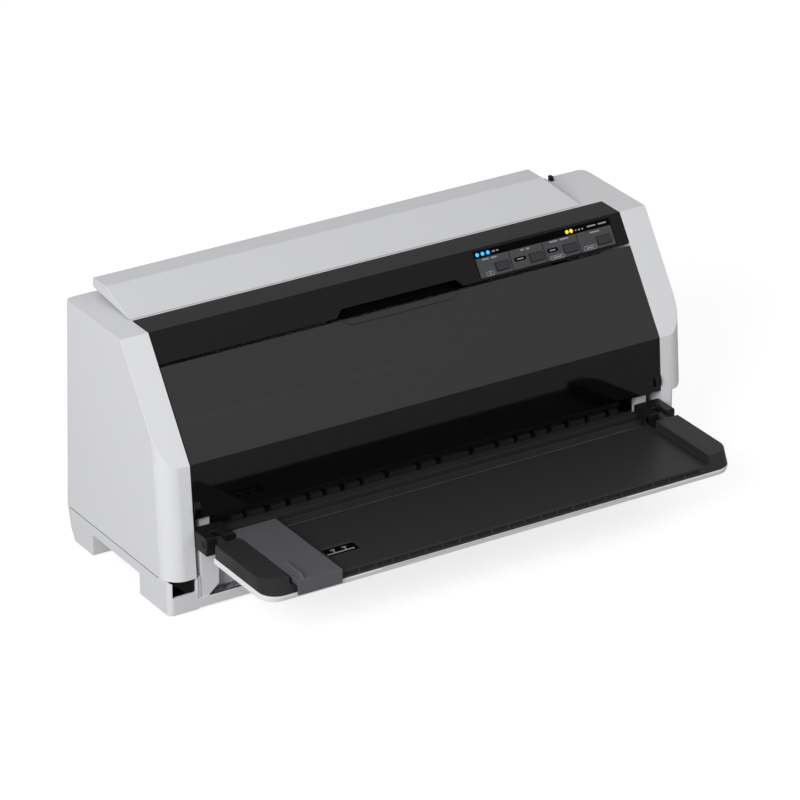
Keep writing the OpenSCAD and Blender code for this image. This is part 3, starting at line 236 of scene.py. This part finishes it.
lensGlow = {  # linear colour, how strongly the lens glows, and roughness
    "blueLens": dict(color=(0.03, 0.36, 0.95), strength=0.9, rough=0.2),
    "yellowLens": dict(color=(0.80, 0.66, 0.02), strength=0.5, rough=0.2),
}


def glowMaterial(name, color, strength, rough):
    return newMaterial(name, {"Base Color": (*color, 1), "Emission Color": (*color, 1),
                              "Emission Strength": strength, "Roughness": rough})


materials = {name: mouldedMaterial(name, **values) for name, values in finishes.items()}
# smokyCover is the cover's lit copy with painted sheen, smokyShadedLow its shaded copy below the bend with
# painted shade
materials["smokyCover"] = smokyMaterial("smokyCover", **smoky["above"])
materials["smokyShadedLow"] = smokyMaterial("smokyShadedLow", **smoky["below"])
materials.update({name: glowMaterial(name, **values) for name, values in lensGlow.items()})
print("materials ready:", len(materials))

# The finish of each piece, by its slot in the record
slotFinish = {
    "case_grey": "caseGrey", "base_grey": "baseGrey", "guide_grey": "guideGrey",
    "white_skin": "undersideWhite", "bezel_black": "bezelBlack", "smoky_cover": "smokyCover",
    "tray_black": "trayBlack", "guide_mid": "guideMid", "panel_grey": "panelGrey",
    "strip_black": "stripBlack", "key_black": "keyBlack",
    "lens_blue": "blueLens", "lens_yellow": "yellowLens", "feet_rubber": "feetRubber",
    "roller_rubber": "rollerRubber", "steel": "frameSteel", "bright_steel": "brightSteel",
    "board_green": "boardGreen", "supply_tan": "supplyBoard", "white_acetal": "whiteAcetal",
    "brass": "pinionBrass", "motor_black": "motorBlack", "head_alloy": "headAlloy",
    "black_plastic": "innerBlack", "belt_rubber": "beltRubber", "knob_grey": "windKnob",
}
pieceFinish = {"hinge_pins": "pinSteel", "power_rocker": "rockerBlack", "left_hinge_block": "blockBlack",
               "right_hinge_block": "blockBlack"}
nodeSlot = {s["node"]: s["material_slot"] for s in frame["record"]["subparts"]}
nodeFinish = {name: pieceFinish.get(name, slotFinish[slot]) for name, slot in nodeSlot.items()}
nodeBody = {n: b for b, members in frame["record"]["behaviour"]["bodies"].items() for n in members}
for name, obj in nodes.items():
    obj.data.materials.clear()
    obj.data.materials.append(materials[nodeFinish[name]])
print("finishes given to", len(nodeFinish), "nodes")


def dress(obj, body, slot, material, *replaced):
    # gives a piece its finish, the body it moves with and the solids that it stands in for; slot is not used
    obj.data.materials.clear()
    obj.data.materials.append(materials[material])
    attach(obj, body)
    if replaced:
        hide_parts(*replaced)
    return obj


def addMesh(name, verts, faces, smooth=True):
    mesh = bpy.data.meshes.new(name)
    mesh.from_pydata(verts, [], faces)
    mesh.polygons.foreach_set("use_smooth", np.full(len(mesh.polygons), smooth))
    mesh.update()
    obj = bpy.data.objects.new(name, mesh)
    bpy.context.scene.collection.objects.link(obj)
    return obj


# Moulded pieces with softened edges
softEdges = {  # edge radius for each moulded piece
    "upper_case": 0.42, "lower_case": 0.42, "rear_guide": 0.5, "front_bezel": 0.35, "front_cover": 0.4,
    "paper_tray": 0.7, "tray_underside": 0.5, "edge_guide": 0.5, "left_hinge_block": 0.9,
    "right_hinge_block": 0.9, "entry_guide": 0.35, "control_panel": 0.12, "tear_off_button": 0.3,
    "line_feed_button": 0.3, "load_button": 0.3, "pause_button": 0.3, "power_rocker": 0.25,
    "feed_knob": 0.5, "release_lever": 0.3, "ribbon_cartridge": 0.6, "carriage": 0.5, "ribbon_knob": 0.4,
}
softening = {
    "mergeGap": 0.08,                                    # points nearer than this become one
    "flatWithin": 0.4, "roundOver": 12.5,                # degrees between two faces
    "segments": 2, "areaWeight": 100,
}


def softened(name, radius):
    # the CAD solid with its flat faces rejoined and every edge sharper than roundOver rounded to the
    # radius; vertex normals are then weighted by face area, so flat faces stay flat
    bm = bmesh.new()
    bm.from_mesh(nodes[name].data)
    bmesh.ops.remove_doubles(bm, verts=bm.verts, dist=softening["mergeGap"] * mm)
    bmesh.ops.dissolve_limit(bm, angle_limit=math.radians(softening["flatWithin"]),
                             verts=bm.verts, edges=bm.edges)
    mesh = bpy.data.meshes.new(name + "Soft")
    bm.to_mesh(mesh)
    bm.free()
    mesh.polygons.foreach_set("use_smooth", np.full(len(mesh.polygons), True))
    obj = bpy.data.objects.new(name + "Soft", mesh)
    bpy.context.scene.collection.objects.link(obj)
    bevel = obj.modifiers.new("softEdge", "BEVEL")
    bevel.width = radius * mm
    bevel.segments = softening["segments"]
    bevel.limit_method = "ANGLE"
    bevel.angle_limit = math.radians(softening["roundOver"])
    bevel.use_clamp_overlap = False
    weighted = obj.modifiers.new("flatFaces", "WEIGHTED_NORMAL")
    weighted.mode = "FACE_AREA"
    weighted.weight = softening["areaWeight"]
    return dress(obj, nodeBody[name], nodeSlot[name], nodeFinish[name], name)


soft = {name: softened(name, radius) for name, radius in softEdges.items()}
print("moulded pieces:", len(soft))

# Faces of the bezel and the cover painted black as shade: the finger recess, the bezel's lower edge and the
# cover's upper edge
shadeFaces = {
    "recessHalf": 72.0, "recessTop": 19.0, "under": 0.6,  # finger recess: half its width, its top, its depth
    "coverTop": 32.0,                                    # the cover's upper edge lies above this
    "edgeLean": 0.9,                                     # how squarely an edge faces up or down the slope
}


def faceMeasures(mesh):
    # for each face, from the top's front edge: x, s = -y cos a - z sin a and h = z cos a - y sin a of its
    # middle, its height over the table, and facing = ny cos a + nz sin a, 1 where it looks up the slope
    count = len(mesh.polygons)
    middle, normal = np.empty(3 * count), np.empty(3 * count)
    mesh.polygons.foreach_get("center", middle)
    mesh.polygons.foreach_get("normal", normal)
    middle, normal = middle.reshape(-1, 3), normal.reshape(-1, 3)
    y, z = middle[:, 1] - edgeY, middle[:, 2] - topZ
    return {"x": middle[:, 0] / mm, "s": (-y * slantCos - z * slantSin) / mm,
            "h": (z * slantCos - y * slantSin) / mm, "height": middle[:, 2] / mm,
            "facing": normal[:, 1] * slantCos + normal[:, 2] * slantSin}


def repaint(name, picks):
    # gives the faces that each test picks another material, here painted black shade or the cover's shaded
    # copy; a later test wins over an earlier one
    mesh = soft[name].data
    measures = faceMeasures(mesh)
    index = np.zeros(len(mesh.polygons), np.int32)
    for material, test in picks.items():
        mesh.materials.append(materials[material])
        index[test(measures)] = len(mesh.materials) - 1
    mesh.polygons.foreach_set("material_index", index)
    mesh.update()
    print("repainted faces on", name, np.bincount(index).tolist())


def bezelRecessShade(at):
    # the faces sunk into the finger recess, and the bezel's lower edge, both painted black as shade
    sunk = (np.abs(at["x"]) < shadeFaces["recessHalf"]) & (at["h"] < -shadeFaces["under"])
    return (at["s"] > shadeFaces["recessTop"]) & (sunk | (at["facing"] < -shadeFaces["edgeLean"]))


def coverBelowBend(at):
    # faces below the bend take the cover's shaded copy, whose darker tint is painted shade
    return at["height"] < smoky["bendZ"]


def coverEdgeShade(at):
    # the cover's upper edge where it meets the bezel, painted black as shade in the seam
    return (at["facing"] > shadeFaces["edgeLean"]) & (at["s"] < shadeFaces["coverTop"])


# painted shade: the recess, the bezel's lower edge and the cover's upper edge turn black, and the cover below
# its bend takes its shaded copy
repaint("front_bezel", {"printAndShadeBlack": bezelRecessShade})
repaint("front_cover", {"smokyShadedLow": coverBelowBend, "printAndShadeBlack": coverEdgeShade})

# Generic marks on the panel: plain bars and rounded outlines, with no letter among them, and black strips of
# painted shade in the gap round the panel and in its grooves
panelMarks = {  # mm across from the middle, and down the slant
    "bars": [(92, 95.2, 5.2), (96.2, 98.4, 5.2), (170.4, 172, 5.6), (173.2, 175.4, 5.6), (176.6, 178.4, 5.6),
             (182, 190.4, 5.1), (192.4, 200.4, 5.1), (81.2, 87.6, 9.9), (89.4, 95.2, 9.9), (117, 120.6, 10),
             (122.2, 126, 10), (144.4, 152.4, 9.7), (154.4, 163, 9.7), (182.6, 192, 10.4)],
    "pills": [(81.3, 89.1, 20, 23.6), (141, 155.2, 20.8, 24.1), (173.2, 185.4, 20, 23.7)],
    "darkPills": [(109.2, 120.3, 14.7, 18.1), (140.2, 150.6, 14.6, 18)],
    "barHigh": 1.15, "thinBarHigh": 0.9, "barInPill": 2.6, "barInDarkPill": 2.4, "line": 0.45,
    "sides": (75.0, 204.0), "rows": (8.4, 24.9), "gapWide": 0.7, "gapOver": 0.1,
    "grooves": (31.2, 62.7, 95.1), "grooveWide": 0.7, "grooveRows": (8.5, 24.2),
    "panelSunk": 0.2, "darkLift": 0.03, "lightLift": 0.06, "grooveLift": -0.37,
    "roundSteps": 7, "barSteps": 4,
}


def pillLoop(x0, x1, s0, s1, steps=panelMarks["roundSteps"]):
    # a rounded bar's outline: two half circles as wide as the bar is high, joined by straight lines
    r = (s1 - s0) / 2
    turn = np.linspace(-math.pi / 2, math.pi / 2, steps)
    right = np.stack([x1 - r + r * np.cos(turn), (s0 + s1) / 2 + r * np.sin(turn)], -1)
    left = np.stack([x0 + r - r * np.cos(turn), (s0 + s1) / 2 - r * np.sin(turn)], -1)
    return np.concatenate([right, left])


def barLoop(x0, x1, middle, high):
    return pillLoop(x0, x1, middle - high / 2, middle + high / 2, panelMarks["barSteps"])


def rectLoop(x0, x1, s0, s1):
    return np.array([(x0, s0), (x1, s0), (x1, s1), (x0, s1)], float)


def marksMesh(name, place, fills, rings=(), line=0.0):
    # a flat face for each fill, and for each ring the strip between its outline and the same outline
    # drawn in by the line's width; place lays the points on the piece
    loops, faces, first = [], [], 0
    for loop in fills:
        loops.append(loop)
        faces.append(range(first, first + len(loop)))
        first += len(loop)
    for x0, x1, s0, s1 in rings:
        outer = pillLoop(x0, x1, s0, s1)
        loops += [outer, pillLoop(x0 + line, x1 - line, s0 + line, s1 - line)]
        count = len(outer)
        here = np.arange(count)
        after = np.roll(here, -1)
        faces += (first + np.stack([here, after, count + after, count + here], -1)).tolist()
        first += 2 * count
    return addMesh(name, place(np.concatenate(loops)).tolist(), faces, False)


def onPanel(lift):
    # lays marks lift over the panel's face, which is sunk below the bezel's
    return lambda flat: slantPoint(flat[:, 0], flat[:, 1], lift - panelMarks["panelSunk"])


def thinBars(pills, inset):
    # a thin bar in the middle of each pill, inset from its ends
    return [barLoop(x0 + inset, x1 - inset, (s0 + s1) / 2, panelMarks["thinBarHigh"])
            for x0, x1, s0, s1 in pills]


def layPanelMarks():
    marks = panelMarks
    left, right = marks["sides"]
    top, bottom = marks["rows"]
    wide, over = marks["gapWide"], marks["gapOver"]
    # the dark pills are printed marks
    dark = [pillLoop(*pill) for pill in marks["darkPills"]]
    # painted shadow: black strips along the panel's left, right and lower edges, in the gap round it
    dark += [rectLoop(left - over, left + wide, top, bottom),
             rectLoop(right - wide, right + over, top, bottom),
             rectLoop(left, right, bottom - wide, bottom)]
    light = [barLoop(x0, x1, s, marks["barHigh"]) for x0, x1, s in marks["bars"]]
    light += thinBars(marks["pills"], marks["barInPill"])
    light += thinBars(marks["darkPills"], marks["barInDarkPill"])
    # painted shade: black strips in the grooves' bottoms
    starts = [left + across for across in marks["grooves"]]
    grooves = [rectLoop(x, x + marks["grooveWide"], *marks["grooveRows"]) for x in starts]
    dress(marksMesh("panelPrintAndGapShade", onPanel(marks["darkLift"]), dark), "base", "panel_grey", "printAndShadeBlack")
    dress(marksMesh("panelLight", onPanel(marks["lightLift"]), light, marks["pills"], marks["line"]),
          "base", "panel_grey", "markGrey")
    dress(marksMesh("grooveShade", onPanel(marks["grooveLift"]), grooves), "base", "panel_grey", "printAndShadeBlack")


layPanelMarks()

# Domes of the indicator lenses
lensDome = {
    "radius": 1.58, "rise": 0.55, "sunk": 0.1, "rings": 6, "around": 24,
    "down": 5.2, "blueAcross": (78.5, 83.5, 88.5), "yellowAcross": (163.1, 167.1),
}


def lensDomes(name, across, slot, material):
    # over each lens, u and v radii from its middle, the dome stands rise (1 - u u - v v) - sunk proud
    rings, around, radius = lensDome["rings"], lensDome["around"], lensDome["radius"]
    part = np.arange(1, rings + 1) / rings
    turn = np.arange(around) * 2 * math.pi / around
    u = np.append(0, np.outer(part, np.cos(turn)))
    v = np.append(0, np.outer(part, np.sin(turn)))
    high = lensDome["rise"] * (1 - u * u - v * v) - lensDome["sunk"]
    here = np.arange(1, around + 1)
    after = np.roll(here, -1)
    fan = np.stack([np.zeros(around, int), after, here], -1)
    band = np.stack([here, after, around + after, around + here], -1)
    bands = (band + around * np.arange(rings - 1)[:, None, None]).reshape(-1, 4)
    verts, faces = [], []
    for x in across:
        first = len(verts)
        verts += slantPoint(x + radius * u, lensDome["down"] + radius * v, high).tolist()
        faces += (fan + first).tolist() + (bands + first).tolist()
    return dress(addMesh(name, verts, faces), "base", slot, material)


lensDomes("blueDomes", lensDome["blueAcross"], "lens_blue", "blueLens")
lensDomes("yellowDomes", lensDome["yellowAcross"], "lens_yellow", "yellowLens")
print("panel marks and lenses ready")

# Shadow line in the seam between the two halves of the case
seamLine = {"height": 28.0, "high": 0.8, "inset": 0.04, "frontKeep": 17.0, "rearKeep": 8.0}


def seamStrips():
    # flat upright strips just inside the outer walls, along both sides and across the rear
    inset, keep = seamLine["inset"] * mm, seamLine["rearKeep"] * mm
    z, half = seamLine["height"] * mm, seamLine["high"] * mm / 2
    left, right, rear = caseLow.x + inset, caseHigh.x - inset, caseHigh.y - inset
    y0, y1 = caseLow.y + seamLine["frontKeep"] * mm, caseHigh.y - keep
    runs = [((left, y0), (left, y1)), ((right, y0), (right, y1)),
            ((caseLow.x + keep, rear), (caseHigh.x - keep, rear))]
    verts = [(*point, z + up) for start, end in runs
             for point, up in ((start, -half), (end, -half), (end, half), (start, half))]
    faces = np.arange(len(verts)).reshape(-1, 4).tolist()
    return dress(addMesh("seamLine", verts, faces, False), "base", "base_grey", "seamGrey")


seamStrips()
print("seam line ready")

# Paper scale in the tray's window: a base line with two ticks
scaleMarks = {  # mm across from the middle, and back from the top's front edge
    "across": (-143.0, -114.0), "back": (-142.0, -129.0), "ticks": (-134.5, -124.5),
    "lineEnds": (1.0, 4.0), "rows": (3.2, 4.6, 8.4, 9.6), "tickHalf": 0.45, "headHalf": 2.0,
    "windowDeep": 7.5, "floorLift": 0.03, "tickLift": 0.08,
}


def onTray(lift):
    # lays marks lift over the window's floor, which is windowDeep under the tray's borders
    z = trayTop - (scaleMarks["windowDeep"] - lift) * mm
    return lambda flat: np.stack([flat[:, 0] * mm, flat[:, 1] * mm + edgeY, np.full(len(flat), z)], -1)


def layPaperScale():
    (x0, x1), (y0, y1) = scaleMarks["across"], scaleMarks["back"]
    leftEnd, rightEnd = scaleMarks["lineEnds"]
    lineLow, lineHigh, headLow, headHigh = (y0 + row for row in scaleMarks["rows"])
    tick, head = scaleMarks["tickHalf"], scaleMarks["headHalf"]
    marks = [rectLoop(x0 + leftEnd, x1 - rightEnd, lineLow, lineHigh)]
    for x in scaleMarks["ticks"]:
        marks += [rectLoop(x - tick, x + tick, lineHigh, headLow),
                  rectLoop(x - head, x + head, headLow, headHigh)]
    dress(marksMesh("scaleFloor", onTray(scaleMarks["floorLift"]), [rectLoop(x0, x1, y0, y1)]),
          "tray", "tray_black", "printAndShadeBlack")
    dress(marksMesh("scaleTicks", onTray(scaleMarks["tickLift"]), marks), "tray", "tray_black", "markGrey")


layPaperScale()
print("paper scale ready")

# Camera, floor and lamps: metres and degrees, mm for the lens and its sensor, watts for the lamps
studio = {
    "cameraPlace": (-1.873, -2.97665, 1.808), "cameraTurn": (64.25, 0.0, -31.98),
    "lens": 225.4, "sensor": 36.0,
    "worldLight": 0.42, "seenWhite": 1.0,
    "floorHalf": 9.0, "floorTone": 0.42, "floorGlow": 0.75, "floorRough": 0.6,
    "lampTarget": (0, 0, 0.1),
    "lamps": {"keyLamp": dict(place=(-2.25, -1.45, 1.55), size=1.5, power=70.0),
              "fillLamp": dict(place=(1.6, -1.2, 1.4), size=1.6, power=7.0)},
}


def seenRays(tree):
    # 1 for a ray that comes from the camera or through clear plastic, otherwise 0
    path = addNode(tree, "LightPath")
    either = addNode(tree, "Math", operation="MAXIMUM")
    tree.links.new(path.outputs["Is Camera Ray"], either.inputs[0])
    tree.links.new(path.outputs["Is Transmission Ray"], either.inputs[1])
    return either.outputs[0]


def makeWorld():
    # lights the scene with worldLight, and is seen as white
    world = bpy.data.worlds.new("studioWorld")
    bpy.context.scene.world = world
    world.use_nodes = True
    tree = world.node_tree
    tree.nodes.clear()
    white = (1, 1, 1, 1)
    plain = addNode(tree, "Background", {"Color": white, "Strength": studio["worldLight"]})
    seen = addNode(tree, "Background", {"Color": white, "Strength": studio["seenWhite"]})
    mix = addNode(tree, "MixShader")
    out = addNode(tree, "OutputWorld")
    tree.links.new(seenRays(tree), mix.inputs[0])
    tree.links.new(plain.outputs[0], mix.inputs[1])
    tree.links.new(seen.outputs[0], mix.inputs[2])
    tree.links.new(mix.outputs[0], out.inputs["Surface"])


def makeFloor():
    # a pale floor that looks brighter to the camera than the light it gives back, and keeps its shadow
    half = studio["floorHalf"]
    corners = [(-half, -half, 0), (half, -half, 0), (half, half, 0), (-half, half, 0)]
    floor = addMesh("studioFloor", corners, [(0, 1, 2, 3)], False)
    tone = studio["floorTone"]
    mat = newMaterial("studioFloor", {"Base Color": (tone, tone, tone, 1), "Roughness": studio["floorRough"],
                                      "Emission Color": (1, 1, 1, 1)})
    tree = mat.node_tree
    glow = addNode(tree, "Math", {1: studio["floorGlow"]}, "MULTIPLY")
    tree.links.new(seenRays(tree), glow.inputs[0])
    tree.links.new(glow.outputs[0], tree.nodes["Principled BSDF"].inputs["Emission Strength"])
    floor.data.materials.append(mat)


def makeLamp(name, place, size, power):
    # a square lamp, tilted and turned so that it shines at the target
    data = bpy.data.lights.new(name, "AREA")
    data.shape = "SQUARE"
    data.size = size
    data.energy = power
    lamp = bpy.data.objects.new(name, data)
    lamp.location = place
    toward = np.array(studio["lampTarget"], float) - np.array(place, float)
    lamp.rotation_euler = (math.atan2(np.hypot(toward[0], toward[1]), -toward[2]), 0,
                           math.atan2(toward[0], -toward[1]) + math.pi)
    lamp.visible_glossy = False
    bpy.context.scene.collection.objects.link(lamp)


def makeCamera():
    data = bpy.data.cameras.new("studioCamera")
    data.lens = studio["lens"]
    data.sensor_width = studio["sensor"]
    camera = bpy.data.objects.new("studioCamera", data)
    camera.location = studio["cameraPlace"]
    camera.rotation_euler = [math.radians(a) for a in studio["cameraTurn"]]
    bpy.context.scene.collection.objects.link(camera)
    bpy.context.scene.camera = camera


makeWorld()
makeFloor()
for name, values in studio["lamps"].items():
    makeLamp(name, **values)
makeCamera()
bpy.context.scene.view_settings.view_transform = "Standard"
print("studio ready")
